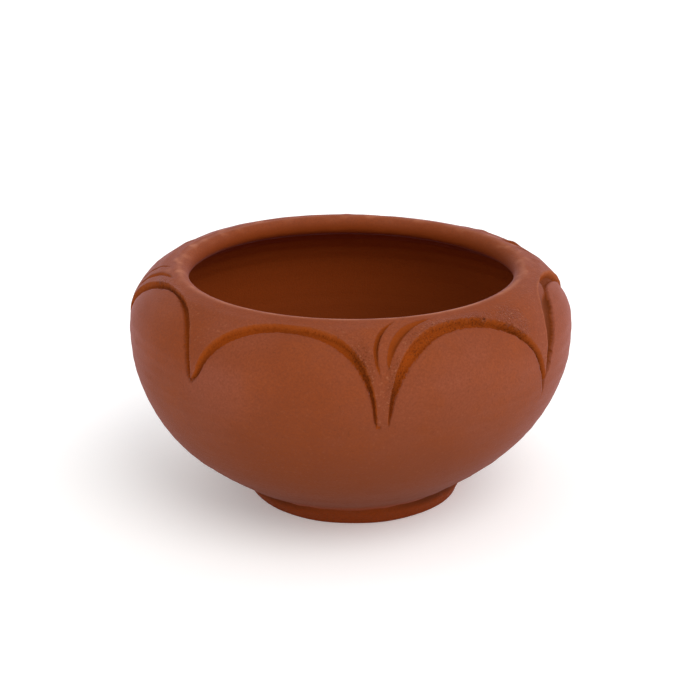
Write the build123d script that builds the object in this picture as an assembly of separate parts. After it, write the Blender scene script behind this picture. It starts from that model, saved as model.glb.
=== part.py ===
from build123d import *
from collections import namedtuple
from math import atan2, cos, degrees, pi, radians, sin
import os

# Diya oil lamp: a thrown terracotta bowl with a carved collar, and the cotton
# wick that stands in it.  Millimetres, +Z up, origin on the axis at the table.

# Outer skin of the bowl, followed from the foot up to the lip.  Headings are
# the climbing angle of the skin: 90 is straight up, 180 is level and inward.
BOWL_RADIUS = 50.0
BOWL_HEIGHT = 53.4
FOOT_RADIUS = 24.3
FOOT_EDGE_ROUND = 0.5
CREASE_ROUND = 1.2
HIP_HEADING = 36.0
HIP_RADIUS = 180.0
BELLY_HEADING = 40.3
BELLY_RADIUS = 36.0
SHOULDER_RADIUS = 13.6
LIP_HEADING = 168.0

# Inside of the bowl.
WALL = 4.8
FLOOR_Z = 8.6
FLOOR_RADIUS = 9.0

# Carving: grooves of one depth cut square to the skin.
GROOVE_DEPTH = 0.9
CUT_TILT = 35.0
CUT_REACH = 70.0
SKIN_CLEAR = 1.5

# Cotton wick: a round pad that narrows into a twisted stem.
WICK_PAD_RADIUS = 7.5
WICK_PAD_EDGE = 1.6
WICK_STEM_RADIUS = 1.5
WICK_FLARE_TOP = 7.5
WICK_HEIGHT = 26.0

LIP_RADIUS = WALL / 2

# Carved arches.  Angles run round the bowl from the front, in degrees; drops are
# measured down over the skin from the crest of the lip.  Fullness shapes each
# leg of an arch: 2 is an ellipse, more is squarer.
Leg = namedtuple("Leg", "foot drop outer_fullness inner_fullness")
Arch = namedtuple("Arch", "left apex crown width right")
ARCHES = (
    Arch(Leg(-40.4, 19.8, 2.0, 1.75), -17.5, 3.1, 2.2, Leg(5.9, 25.3, 2.6, 2.3)),
    Arch(Leg(8.7, 25.0, 2.4, 1.95), 30.0, 3.2, 2.6, Leg(56.2, 27.6, 2.0, 2.0)),
    Arch(Leg(57.2, 22.5, 2.05, 1.65), 77.0, 3.7, 2.5, Leg(102.5, 23.0, 2.0, 1.8)),
    Arch(Leg(105.0, 23.0, 2.0, 1.7), 131.0, 3.2, 2.3, Leg(158.0, 22.0, 2.1, 1.8)),
    Arch(Leg(160.5, 23.5, 2.1, 1.8), 186.0, 3.6, 2.4, Leg(212.0, 21.0, 1.9, 1.7)),
    Arch(Leg(214.5, 22.5, 2.2, 1.9), 242.0, 3.0, 2.2, Leg(268.0, 21.0, 2.0, 1.8)),
    Arch(Leg(270.5, 20.5, 2.0, 1.7), 297.0, 2.1, 1.6, Leg(318.6, 19.8, 2.0, 2.0)),
)
ARCH_POINTS = 7
TIP_WIDTH = 0.9

# Pairs of crescent strokes curl away from the left foot of these arches.
Stroke = namedtuple("Stroke", "top mid_outer mid_inner foot")
STROKES = (
    Stroke((3.3, 1.8), (-2.7, 7.3), (-1.5, 7.0), (-1.1, 14.3)),
    Stroke((13.5, 2.0), (1.8, 5.8), (4.4, 6.7), (0.5, 12.8)),
)
STROKED_ARCHES = (1, 3, 4, 6)


def on_arc(centre, radius, heading):
    """Point of an arc where the skin climbs at the given heading."""
    a = radians(heading)
    return (centre[0] + radius * sin(a), centre[1] - radius * cos(a))


# The belly and shoulder arcs meet at the widest ring.  The lip is a half round
# between the outer and inner shoulder, and its crest sets the height.
LIP_OFFSET = SHOULDER_RADIUS - LIP_RADIUS
WIDEST_Z = BOWL_HEIGHT - LIP_RADIUS + LIP_OFFSET * cos(radians(LIP_HEADING))
BELLY_CENTRE = (BOWL_RADIUS - BELLY_RADIUS, WIDEST_Z)
SHOULDER_CENTRE = (BOWL_RADIUS - SHOULDER_RADIUS, WIDEST_Z)
LIP_CENTRE = on_arc(SHOULDER_CENTRE, LIP_OFFSET, LIP_HEADING)
HIP_END = on_arc(BELLY_CENTRE, BELLY_RADIUS, BELLY_HEADING)
HIP_CENTRE = on_arc(HIP_END, -HIP_RADIUS, BELLY_HEADING)
CREASE = on_arc(HIP_CENTRE, HIP_RADIUS, HIP_HEADING)

# The floor curves up into the wall on an arc tangent to both.
INNER_BELLY_RADIUS = BELLY_RADIUS - WALL
FLOOR_RUN = BELLY_CENTRE[0] - FLOOR_RADIUS
FLOOR_RISE = BELLY_CENTRE[1] - FLOOR_Z
FLOOR_ARC = (FLOOR_RUN**2 + FLOOR_RISE**2 - INNER_BELLY_RADIUS**2) / (
    2 * (FLOOR_RISE - INNER_BELLY_RADIUS)
)
FLOOR_HEADING = degrees(atan2(FLOOR_RUN, FLOOR_ARC - FLOOR_RISE))


def skin_point(angle, drop):
    """Point on the outer skin at a drop below the crest of the lip."""
    lip_length = LIP_RADIUS * radians(180 - LIP_HEADING)
    shoulder_length = SHOULDER_RADIUS * radians(LIP_HEADING - 90)
    if drop < lip_length:
        r, z = on_arc(LIP_CENTRE, LIP_RADIUS, 180 - degrees(drop / LIP_RADIUS))
    elif drop < lip_length + shoulder_length:
        turned = degrees((drop - lip_length) / SHOULDER_RADIUS)
        r, z = on_arc(SHOULDER_CENTRE, SHOULDER_RADIUS, LIP_HEADING - turned)
    else:
        turned = degrees((drop - lip_length - shoulder_length) / BELLY_RADIUS)
        r, z = on_arc(BELLY_CENTRE, BELLY_RADIUS, 90 - turned)
    a = radians(angle)
    return Vector(r * sin(a), -r * cos(a), z)


def bowl_solid():
    """The bowl turned about its axis, before carving."""
    inner_shoulder = SHOULDER_RADIUS - WALL
    with BuildPart() as bowl:
        with BuildSketch(Plane.XZ):
            with BuildLine():
                foot = Polyline((0, 0), (FOOT_RADIUS, 0), CREASE)
                hip = JernArc(
                    CREASE,
                    (cos(radians(HIP_HEADING)), sin(radians(HIP_HEADING))),
                    HIP_RADIUS,
                    BELLY_HEADING - HIP_HEADING,
                )
                belly = JernArc(hip @ 1, hip % 1, BELLY_RADIUS, 90 - BELLY_HEADING)
                shoulder = JernArc(belly @ 1, belly % 1, SHOULDER_RADIUS, LIP_HEADING - 90)
                lip = JernArc(shoulder @ 1, shoulder % 1, LIP_RADIUS, 180)
                under_lip = JernArc(lip @ 1, lip % 1, inner_shoulder, 90 - LIP_HEADING)
                wall = JernArc(
                    under_lip @ 1, under_lip % 1, INNER_BELLY_RADIUS, FLOOR_HEADING - 90
                )
                bend = JernArc(wall @ 1, wall % 1, FLOOR_ARC, -FLOOR_HEADING)
                Polyline(bend @ 1, (0, FLOOR_Z), (0, 0))
            make_face()
        revolve(axis=Axis.Z)
        circles = bowl.edges().filter_by(GeomType.CIRCLE)
        crease = circles.filter_by(lambda e: abs(e.radius - CREASE[0]) < 0.01)
        fillet(crease, CREASE_ROUND)
        circles = bowl.edges().filter_by(GeomType.CIRCLE)
        foot_edge = circles.filter_by(lambda e: abs(e.radius - FOOT_RADIUS) < 0.01)
        fillet(foot_edge, FOOT_EDGE_ROUND)
    return bowl.part


def skin_layer():
    """Ring that holds the skin of belly and shoulder to the groove depth."""
    low_heading = 60
    top_heading = LIP_HEADING
    with BuildPart() as layer:
        with BuildSketch(Plane.XZ):
            with BuildLine():
                inner = [
                    on_arc(BELLY_CENTRE, BELLY_RADIUS - GROOVE_DEPTH, low_heading),
                    on_arc(BELLY_CENTRE, BELLY_RADIUS - GROOVE_DEPTH, 90),
                    on_arc(SHOULDER_CENTRE, SHOULDER_RADIUS - GROOVE_DEPTH, top_heading),
                ]
                outer = [
                    on_arc(BELLY_CENTRE, BELLY_RADIUS + SKIN_CLEAR, low_heading),
                    on_arc(BELLY_CENTRE, BELLY_RADIUS + SKIN_CLEAR, 90),
                    on_arc(SHOULDER_CENTRE, SHOULDER_RADIUS + SKIN_CLEAR, top_heading),
                ]
                RadiusArc(inner[0], inner[1], -(BELLY_RADIUS - GROOVE_DEPTH))
                RadiusArc(inner[1], inner[2], -(SHOULDER_RADIUS - GROOVE_DEPTH))
                Line(inner[2], outer[2])
                RadiusArc(outer[2], outer[1], SHOULDER_RADIUS + SKIN_CLEAR)
                RadiusArc(outer[1], outer[0], BELLY_RADIUS + SKIN_CLEAR)
                Line(outer[0], inner[0])
            make_face()
        revolve(axis=Axis.Z)
    return layer.part


def cutting_plane(angle):
    """Plane through the axis that faces outward and up at one angle."""
    a = radians(angle)
    tilt = radians(CUT_TILT)
    out = Vector(sin(a) * cos(tilt), -cos(a) * cos(tilt), sin(tilt))
    along = Vector(cos(a), sin(a), 0)
    return Plane(origin=(0, 0, SHOULDER_CENTRE[1]), x_dir=along, z_dir=out)


def flatten(plane, angle, drop):
    """A point of the skin as seen straight down the cutting direction."""
    p = plane.to_local_coords(skin_point(angle, drop))
    return (p.X, p.Y)


def arch_edge(plane, arch, narrowing, sink, inner):
    """Points of one edge of an arch's groove, from its left foot to its right."""
    points = []
    for k in range(-ARCH_POINTS, ARCH_POINTS + 1):
        leg = arch.left if k < 0 else arch.right
        fullness = leg.inner_fullness if inner else leg.outer_fullness
        side = -1 if k < 0 else 1
        run = abs(sin(k / ARCH_POINTS * pi / 2))
        rise = (1 - run**fullness) ** (1 / fullness)
        span = abs(leg.foot - arch.apex) - narrowing
        drop = leg.drop + (arch.crown + sink - leg.drop) * rise
        points.append(flatten(plane, arch.apex + side * span * run, drop))
    return points


def arch_groove(arch):
    """Cutter for the groove that outlines one arch."""
    plane = cutting_plane((arch.left.foot + arch.right.foot) / 2)
    with BuildPart() as groove:
        with BuildSketch(plane):
            with BuildLine():
                upper = Spline(*arch_edge(plane, arch, 0, 0, False))
                lower = Spline(*arch_edge(plane, arch, TIP_WIDTH, arch.width, True))
                Line(upper @ 0, lower @ 0)
                Line(upper @ 1, lower @ 1)
            make_face()
        extrude(amount=CUT_REACH)
    return groove.part


def crescent_groove(arch, stroke):
    """Cutter for one crescent stroke beside the left foot of an arch."""
    plane = cutting_plane(arch.left.foot)
    top, mid_outer, mid_inner, foot = (
        flatten(plane, arch.left.foot + along, drop) for along, drop in stroke
    )
    with BuildPart() as groove:
        with BuildSketch(plane):
            with BuildLine():
                ThreePointArc(top, mid_outer, foot)
                ThreePointArc(foot, mid_inner, top)
            make_face()
        extrude(amount=CUT_REACH)
    return groove.part


def carved_bowl():
    """The bowl with its arches and crescents cut to one depth."""
    layer = skin_layer()
    cutters = [arch_groove(arch) for arch in ARCHES]
    for number in STROKED_ARCHES:
        cutters += [crescent_groove(ARCHES[number], stroke) for stroke in STROKES]
    bowl = bowl_solid()
    for cutter in cutters:
        bowl = bowl - (cutter & layer)
    return bowl


def cotton_wick():
    """Wick standing on the floor of the bowl."""
    top = FLOOR_Z + WICK_HEIGHT
    with BuildPart() as wick:
        with BuildSketch(Plane.XZ):
            with BuildLine():
                edge = Polyline(
                    (0, FLOOR_Z),
                    (WICK_PAD_RADIUS, FLOOR_Z),
                    (WICK_PAD_RADIUS, FLOOR_Z + WICK_PAD_EDGE),
                )
                flare = Spline(
                    edge @ 1,
                    (WICK_STEM_RADIUS, FLOOR_Z + WICK_FLARE_TOP),
                    tangents=((-1, 0.35), (0, 1)),
                )
                stem = Line(flare @ 1, (WICK_STEM_RADIUS, top - WICK_STEM_RADIUS))
                tip = JernArc(stem @ 1, (0, 1), WICK_STEM_RADIUS, 90)
                Line(tip @ 1, (0, FLOOR_Z))
            make_face()
        revolve(axis=Axis.Z)
    return wick.part


os.makedirs("parts", exist_ok=True)
export_step(carved_bowl(), "parts/bowl.step")
export_step(cotton_wick(), "parts/wick.step")
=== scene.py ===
"""Diya oil lamp: a carved terracotta bowl and the cotton wick that stands in it."""
import math
from collections import namedtuple

import bpy
import numpy as np
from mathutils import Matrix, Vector


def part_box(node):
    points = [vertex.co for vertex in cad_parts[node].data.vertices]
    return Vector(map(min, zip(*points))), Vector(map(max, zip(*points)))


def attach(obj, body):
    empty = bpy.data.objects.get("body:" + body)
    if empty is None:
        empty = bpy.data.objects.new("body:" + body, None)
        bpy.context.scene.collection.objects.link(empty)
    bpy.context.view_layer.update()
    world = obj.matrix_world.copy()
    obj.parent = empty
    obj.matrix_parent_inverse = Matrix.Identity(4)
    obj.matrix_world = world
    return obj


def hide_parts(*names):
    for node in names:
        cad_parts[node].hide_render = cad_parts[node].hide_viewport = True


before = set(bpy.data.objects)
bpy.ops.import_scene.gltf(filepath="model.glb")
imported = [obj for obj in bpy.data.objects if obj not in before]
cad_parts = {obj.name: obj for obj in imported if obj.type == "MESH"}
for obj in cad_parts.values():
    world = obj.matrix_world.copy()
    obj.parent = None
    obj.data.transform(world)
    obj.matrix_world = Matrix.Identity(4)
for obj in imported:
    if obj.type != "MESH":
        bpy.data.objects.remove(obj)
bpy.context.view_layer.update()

MM = 0.001
BOWL_LOW, BOWL_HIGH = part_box("bowl")
WICK_LOW, WICK_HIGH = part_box("wick")

# Bowl outline, in millimetres.  A heading is the climbing angle of the skin:
# 90 is straight up, 180 is level and inward.
BOWL_RADIUS = (BOWL_HIGH[0] - BOWL_LOW[0]) / 2 / MM
BOWL_HEIGHT = (BOWL_HIGH[2] - BOWL_LOW[2]) / MM
FOOT_RADIUS = 24.1
FOOT_EDGE_ROUND = 0.5
CREASE_ROUND = 1.2
HIP_HEADING = 36.0
HIP_RADIUS = 180.0
BELLY_HEADING = 40.3
BELLY_RADIUS = 36.0
SHOULDER_RADIUS = 13.6
LIP_HEADING = 168.0
WALL = 4.8
LIP_RADIUS = WALL / 2
FLOOR_Z = WICK_LOW[2] / MM
FLOOR_RADIUS = 9.0

# Carved arches.  Angles run round from the front, drops down the skin from the
# crest of the lip.  Fullness shapes each leg: 2 is an ellipse, more is squarer.
# A leg's groove is inset degrees wide just above its pointed foot, which flicks
# outward, and its outer wall slopes over a share of the groove's width.  Burr is the
# height of the raised rim round the groove, and shade is the painted shade on its floor.
LEG_FIELDS = "foot drop outer_fullness inner_fullness inset flick slope"
Leg = namedtuple("Leg", LEG_FIELDS, defaults=(0.9, 0.0, 0.14))
ARCH_FIELDS = "left apex crown width right burr shade"
Arch = namedtuple("Arch", ARCH_FIELDS, defaults=(0.03, 0.0))
ARCHES = (
    Arch(Leg(-39.9, 20.4, 2.2, 1.95, 1.3, 2.2), -17.5, 3.35, 1.7, Leg(6.1, 25.5, 2.6, 2.3)),
    Arch(Leg(8.6, 25.0, 2.4, 1.95), 30.0, 3.55, 2.25, Leg(56.2, 27.6, 1.98, 2.0)),
    Arch(
        Leg(55.6, 22.7, 2.3, 1.4, 2.0, 0.0, 0.62), 77.0, 3.7, 2.5,
        Leg(102.5, 23.0, 2.0, 1.8), 0.14, 0.8,
    ),
    Arch(Leg(105.0, 23.0, 2.0, 1.7), 131.0, 3.2, 2.3, Leg(158.0, 22.0, 2.1, 1.8), 0.14),
    Arch(Leg(160.5, 23.5, 2.1, 1.8), 186.0, 3.6, 2.4, Leg(212.0, 21.0, 1.9, 1.7)),
    Arch(Leg(214.5, 22.5, 2.2, 1.9), 240.5, 3.0, 2.2, Leg(264.5, 21.0, 2.0, 1.8)),
    Arch(
        Leg(270.5, 20.0, 2.0, 1.7, 1.2), 295.0, 2.8, 0.9,
        Leg(318.9, 20.2, 2.3, 2.0, 1.8), 0.03, 0.4,
    ),
)
FLICK_LENGTH = 5.0
POINT_LENGTH = 2.6

# Section of a groove, in millimetres where it isn't a share of the width.  A groove
# narrower than the full depth's width is shallower, and no wall is thinner than the
# thin wall.  A slope above the long slope is scooped out rather than cut.
GROOVE_DEPTH = 0.9
FULL_DEPTH_WIDTH = 1.3
INNER_SLOPE = 0.24
SCOOPED_INNER_SLOPE = 0.12
THIN_WALL = 0.28
LONG_SLOPE = 0.3
LONGEST_OUTER_SLOPE = 0.62
LONGEST_INNER_SLOPE = 0.38
ON_EDGE = 0.03
EDGE_CUT = 0.55
BURR_REACH = 0.35

# The collar between the arches stands proud, and the petals inside them are sunk
# at their edges and swell towards the middle.
COLLAR_PROUD = 0.22
COLLAR_POINT = 0.6
PETAL_SINK = 0.40
PETAL_PILLOW = 7.0

# Crescent strokes beside the left foot of an arch.  The line is the stroke's
# sharp right side: a curve's four control points, as degrees from that foot and
# drop.  The stroke is widest halfway, painted dark as shade where it is deepest,
# and its sharp side takes the steep share of its width.
Stroke = namedtuple("Stroke", "line width depth dark")
STROKES = (
    Stroke(((3.6, 1.6), (-2.0, 5.2), (-2.6, 9.0), (-1.5, 14.2)), 1.15, 0.9, 0.9),
    Stroke(((14.5, 1.8), (6.5, 3.8), (2.0, 8.0), (0.5, 13.0)), 2.1, 0.8, 0.65),
)
# A short tick under the strokes of one arch.
TICK = Stroke(((-3.1, 24.5), (-2.5, 24.8), (-1.9, 25.1), (-1.2, 25.2)), 0.6, 0.4, 0.5)
STROKE_PIECES = 12
STROKE_STEEP = 0.25
# Which arches have them: the arch, degrees from its left foot, and how bold they are.
STROKED_ARCHES = ((1, 0.0, 1.0), (3, 0.0, 1.0), (4, 0.0, 1.0), (6, 0.5, 0.85))
TICKED_ARCH = 1

# How rough the tool leaves the clay at least, and how far it shakes off its line,
# in degrees and millimetres.
LEAST_GRIT = 0.25
GROOVE_GRIT = 0.45
SHAKE = 0.10
INNER_SHAKE = 0.09

# Patches of the collar that the tool dragged rough: angle, drop and their reach.
GRITTY = (
    (30.0, 4.5, 19.0, 5.0), (19.0, 8.0, 8.0, 6.0), (11.5, 17.0, 5.0, 10.0),
    (47.0, 8.0, 9.0, 7.0), (2.5, 12.0, 5.0, 8.0), (-70.0, 3.5, 16.0, 4.0),
)

# Where the tool skipped and left the groove faint, in the same way.
SKIPPED = ((71.0, 3.7, 9.5, 4.0),)
SKIP_STRENGTH = 0.8

# Faint clouds of colour, partly from the kiln and partly painted sheen on the sides:
# angle, drop, their reach, and strength, which is above 0 for browner clay and below
# 0 for pinker.
CLOUDS = (
    (-4.0, 31.0, 44.0, 28.0, 0.5), (-34.0, 21.0, 14.0, 9.0, -1.0), (-75.0, 21.0, 22.0, 14.0, -1.0),
    (26.0, 15.0, 20.0, 14.0, 0.25), (72.0, 18.0, 26.0, 22.0, -1.0),
    (150.0, 24.0, 50.0, 22.0, 0.8), (235.0, 18.0, 40.0, 16.0, -0.6),
)

# Small lumps of clay on the shoulder: angle, drop, radius and height.
LUMPS = (
    (-178.5, 2.2, 1.4, 0.16), (131.0, 2.8, 1.8, 0.28), (116.0, 4.2, 1.5, 0.30),
    (95.5, 4.0, 1.6, 0.22), (-114.5, 5.2, 1.8, 0.30), (-101.0, 7.8, 1.2, 0.12),
)

# Throwing marks, in millimetres: finger rings, swells and dimples of the skin, and
# how much fuller the belly is than its outline.
RING_HEIGHT = 0.03
RINGS_PER_MM = 2.1
INSIDE_RINGS = 4.0
SWELL_HEIGHT = 0.05
DIMPLE_HEIGHT = 0.02
BELLY_FULLNESS = 0.22

# Sideways drift of the hand-thrown wall, by height, and how far the lip dips.
LEAN_HEIGHTS = (0.0, 3.8, 5.6, 15.0, 26.0, 34.0, 47.0, 53.0)
LEAN_DRIFTS = (0.9, 0.35, -0.45, -0.65, -0.1, 0.1, 0.0, 0.2)
FRONT_DIP = 0.15
BACK_DIP = 0.55

# The foot is trimmed by hand, undercut where it meets the body.
FOOT_STRAY = 0.12
FOOT_DIMPLES = 0.10
FOOT_INSET = 0.06
UNDERCUT = 1.2
# Painted shade in the crease where the body meets the foot, by its darkness.
NIP_DARKNESS = 1.4

# Rings of the mesh: divisions round the bowl, closer beside the arches' legs,
# and steps along the outline.
FINE = 940
LEG_CROWDING = 1.3
LEG_REACH = 8.0
STROKE_REACH = 15.0
CARVED_TOP = 1.2
CARVED_MIDDLE = 10.5
CARVED_BOTTOM = 29.0
COARSE_INSIDE = -9.0
COARSE_BELOW = 31.0
CROWN_STEP = 0.28
LEG_STEP = 0.62
LIP_STEP = 0.4
UNDER_LIP_STEP = 0.8
BELLY_STEP = 1.3
FOOT_STEP = 0.7
INSIDE_STEP = 1.8


def smooth(low, high, x):
    """Smooth step from 0 at low to 1 at high."""
    t = np.clip((x - low) / (high - low), 0.0, 1.0)
    return t * t * (3 - 2 * t)


def bell(x, middle, spread):
    """Bell curve: 1 at its middle, about 0.37 at its spread."""
    return np.exp(-(((x - middle) / spread) ** 2))


# What every vertex of the bowl knows of its skin, for the clay's material: freshly
# cut, painted shade in cuts, rubbed pale with a painted highlight, rough, painted
# shade inside, and browner or pinker, partly as painted sheen.
MASKS = ("cut", "painted_shade", "wear_and_glint", "rough", "painted_inside_shade", "tint")


class Ripple:
    """Smooth seeded unevenness over angle and drop, about -1 to 1."""

    def __init__(self, seed, round_waves, drop_wave, count=9):
        rng = np.random.default_rng(seed)
        self.rounds = rng.integers(round_waves // 2, round_waves * 2, count)
        self.drops = rng.uniform(0.5, 2.0, count) * 2 * math.pi / drop_wave
        self.drops *= rng.choice((-1, 1), count)
        self.phases = rng.uniform(0, 2 * math.pi, count)

    def __call__(self, theta, drop):
        total = 0.0
        for waves, rate, phase in zip(self.rounds, self.drops, self.phases):
            total = total + np.sin(waves * np.radians(theta) + rate * drop + phase)
        return total / math.sqrt(len(self.phases) * 2)


CHATTER = Ripple(3, 150, 2.0)
INNER_CHATTER = Ripple(5, 120, 2.5)
SWELL = Ripple(11, 4, 40.0)
DIMPLE = Ripple(17, 24, 9.0)
FOOT_WOBBLE = Ripple(31, 7, 60.0)
WORN = Ripple(37, 26, 7.0)


# ---------------------------------------------------------------- bowl outline


def on_arc(centre, radius, heading):
    """Point of an arc where the skin climbs at the given heading."""
    a = math.radians(heading)
    return (centre[0] + radius * math.sin(a), centre[1] - radius * math.cos(a))


LIP_OFFSET = SHOULDER_RADIUS - LIP_RADIUS
WIDEST_Z = BOWL_HEIGHT - LIP_RADIUS + LIP_OFFSET * math.cos(math.radians(LIP_HEADING))
BELLY_CENTRE = (BOWL_RADIUS - BELLY_RADIUS, WIDEST_Z)
SHOULDER_CENTRE = (BOWL_RADIUS - SHOULDER_RADIUS, WIDEST_Z)
LIP_CENTRE = on_arc(SHOULDER_CENTRE, LIP_OFFSET, LIP_HEADING)
HIP_END = on_arc(BELLY_CENTRE, BELLY_RADIUS, BELLY_HEADING)
HIP_CENTRE = on_arc(HIP_END, -HIP_RADIUS, BELLY_HEADING)
CREASE = on_arc(HIP_CENTRE, HIP_RADIUS, HIP_HEADING)
INNER_BELLY_RADIUS = BELLY_RADIUS - WALL
FLOOR_RUN = BELLY_CENTRE[0] - FLOOR_RADIUS
FLOOR_RISE = BELLY_CENTRE[1] - FLOOR_Z
FLOOR_ARC = (FLOOR_RUN**2 + FLOOR_RISE**2 - INNER_BELLY_RADIUS**2) / (
    2 * (FLOOR_RISE - INNER_BELLY_RADIUS)
)
FLOOR_HEADING = math.degrees(math.atan2(FLOOR_RUN, FLOOR_ARC - FLOOR_RISE))
LIP_LENGTH = LIP_RADIUS * math.radians(180 - LIP_HEADING)
WIDEST_DROP = LIP_LENGTH + SHOULDER_RADIUS * math.radians(LIP_HEADING - 90)


class Outline:
    """The bowl's outline as stations: radius, height and outward normal."""

    def __init__(self):
        self.stations = []

    def line(self, start, end, step):
        """Straight run, without its last point."""
        dr, dz = end[0] - start[0], end[1] - start[1]
        length = math.hypot(dr, dz)
        count = max(1, round(length / step))
        for k in range(count):
            t = k / count
            self.stations.append(
                (start[0] + dr * t, start[1] + dz * t, dz / length, -dr / length)
            )

    def arc(self, centre, radius, start, end, step, side=1):
        """Arc between two headings, without its last point.  Side -1 is the inside
        of the bowl, and a negative radius turns the other way, as in a crease."""
        count = max(1, round(math.radians(abs(end - start)) * abs(radius) / step))
        for k in range(count):
            heading = start + (end - start) * k / count
            a = math.radians(heading)
            r, z = on_arc(centre, radius, heading)
            self.stations.append((r, z, math.sin(a) * side, -math.cos(a) * side))


def bowl_outline():
    """Stations from the middle of the foot, over the lip, to the middle of the floor."""
    rise = math.atan2(CREASE[1], CREASE[0] - FOOT_RADIUS)
    foot_heading = math.degrees(rise)
    edge = FOOT_EDGE_ROUND * math.tan(rise / 2)
    turn = math.radians(foot_heading - HIP_HEADING)
    nip = CREASE_ROUND * math.tan(turn / 2)
    edge_centre = (FOOT_RADIUS - edge, FOOT_EDGE_ROUND)
    wall_start = on_arc(edge_centre, FOOT_EDGE_ROUND, foot_heading)
    wall_end = (CREASE[0] - nip * math.cos(rise), CREASE[1] - nip * math.sin(rise))
    crease_centre = on_arc(wall_end, CREASE_ROUND, foot_heading)
    hip_start = HIP_HEADING + math.degrees(nip / HIP_RADIUS)
    carved_heading = heading_at(CARVED_BOTTOM)
    middle_heading = heading_at(CARVED_MIDDLE)
    lip_end = LIP_HEADING + 180
    inner_shoulder = SHOULDER_RADIUS - WALL

    path = Outline()
    path.line((0, 0), (FOOT_RADIUS - edge, 0), BELLY_STEP * 1.5)
    path.arc(edge_centre, FOOT_EDGE_ROUND, 0, foot_heading, 0.18)
    path.line(wall_start, wall_end, FOOT_STEP)
    path.arc(crease_centre, -CREASE_ROUND, foot_heading, HIP_HEADING, 0.2)
    path.arc(HIP_CENTRE, HIP_RADIUS, hip_start, BELLY_HEADING, BELLY_STEP)
    path.arc(BELLY_CENTRE, BELLY_RADIUS, BELLY_HEADING, carved_heading, BELLY_STEP)
    path.arc(BELLY_CENTRE, BELLY_RADIUS, carved_heading, 90, LEG_STEP)
    path.arc(SHOULDER_CENTRE, SHOULDER_RADIUS, 90, middle_heading, LEG_STEP)
    path.arc(SHOULDER_CENTRE, SHOULDER_RADIUS, middle_heading, LIP_HEADING, CROWN_STEP)
    path.arc(LIP_CENTRE, LIP_RADIUS, LIP_HEADING, lip_end, LIP_STEP)
    path.arc(SHOULDER_CENTRE, inner_shoulder, LIP_HEADING, 90, UNDER_LIP_STEP, -1)
    path.arc(BELLY_CENTRE, INNER_BELLY_RADIUS, 90, FLOOR_HEADING, INSIDE_STEP, -1)
    path.arc((FLOOR_RADIUS, FLOOR_Z + FLOOR_ARC), FLOOR_ARC, FLOOR_HEADING, 0, INSIDE_STEP, -1)
    path.line((FLOOR_RADIUS, FLOOR_Z), (0, FLOOR_Z), INSIDE_STEP)
    return path.stations


def heading_at(drop):
    """Heading of the outer skin at a drop below the crest of the lip."""
    on_lip = 180 - np.degrees(drop / LIP_RADIUS)
    on_shoulder = LIP_HEADING - np.degrees((drop - LIP_LENGTH) / SHOULDER_RADIUS)
    on_belly = 90 - np.degrees((drop - WIDEST_DROP) / BELLY_RADIUS)
    return np.where(drop < LIP_LENGTH, on_lip, np.where(drop < WIDEST_DROP, on_shoulder, on_belly))


def skin_at(drop):
    """Radius, height and outward normal of the outer skin at a drop."""
    drop = np.asarray(drop, float)
    a = np.radians(heading_at(drop))
    upper = drop < WIDEST_DROP
    centre_r = np.where(upper, SHOULDER_CENTRE[0], BELLY_CENTRE[0])
    arc = np.where(upper, SHOULDER_RADIUS, BELLY_RADIUS)
    on_lip = drop < LIP_LENGTH
    centre_r = np.where(on_lip, LIP_CENTRE[0], centre_r)
    centre_z = np.where(on_lip, LIP_CENTRE[1], WIDEST_Z)
    arc = np.where(on_lip, LIP_RADIUS, arc)
    return centre_r + arc * np.sin(a), centre_z - arc * np.cos(a), np.sin(a), -np.cos(a)


# -------------------------------------------------------------------- carving


class Edge:
    """One edge of an arch's groove: distance inside it, and the way out across it."""

    def __init__(self, offset, radius, drop, span, foot_drop, crown, fullness):
        across = np.abs(offset) / span
        up = np.clip((foot_drop - drop) / (foot_drop - crown), 1e-4, None)
        level = np.maximum((across**fullness + up**fullness) ** (1 / fullness), 1e-4)
        slope_round = (across / level) ** (fullness - 1) / (np.radians(span) * radius)
        slope_up = (up / level) ** (fullness - 1) / (foot_drop - crown)
        steepness = np.hypot(slope_round, slope_up)
        self.inside = (1 - level) / steepness
        self.out_round = np.sign(offset) * slope_round / steepness
        self.out_drop = -slope_up / steepness


def arch_edges(arch, theta, drop, radius):
    """Edges of an arch's groove, height above its foot, reach and outer slope."""
    shake = LEAST_GRIT + grit(theta, drop)
    theta = theta + CHATTER(theta, drop) * SHAKE * shake
    drop = drop + CHATTER(theta + 77, drop) * SHAKE * shake
    offset = (theta - arch.apex + 180) % 360 - 180

    def pick(field):
        return np.where(offset < 0, getattr(arch.left, field), getattr(arch.right, field))

    span = np.abs((pick("foot") - arch.apex + 180) % 360 - 180)
    above = pick("drop") - drop
    flick = pick("flick") * np.clip(1 - above / FLICK_LENGTH, 0, 1) ** 2
    offset = np.sign(offset) * np.maximum(np.abs(offset) - flick, 0)
    inset = pick("inset") * np.sqrt(np.clip(above / POINT_LENGTH, 0.04, 1))
    outer = Edge(offset, radius, drop, span, pick("drop"), arch.crown, pick("outer_fullness"))
    inner = Edge(
        offset, radius, drop, span - inset, pick("drop"),
        arch.crown + arch.width, pick("inner_fullness"),
    )
    stray = INNER_CHATTER(theta, drop) * INNER_SHAKE * shake
    inner.inside = inner.inside + stray * smooth(0, 8, above)
    return outer, inner, above, np.abs(offset) < span + 2, pick("slope")


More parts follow.
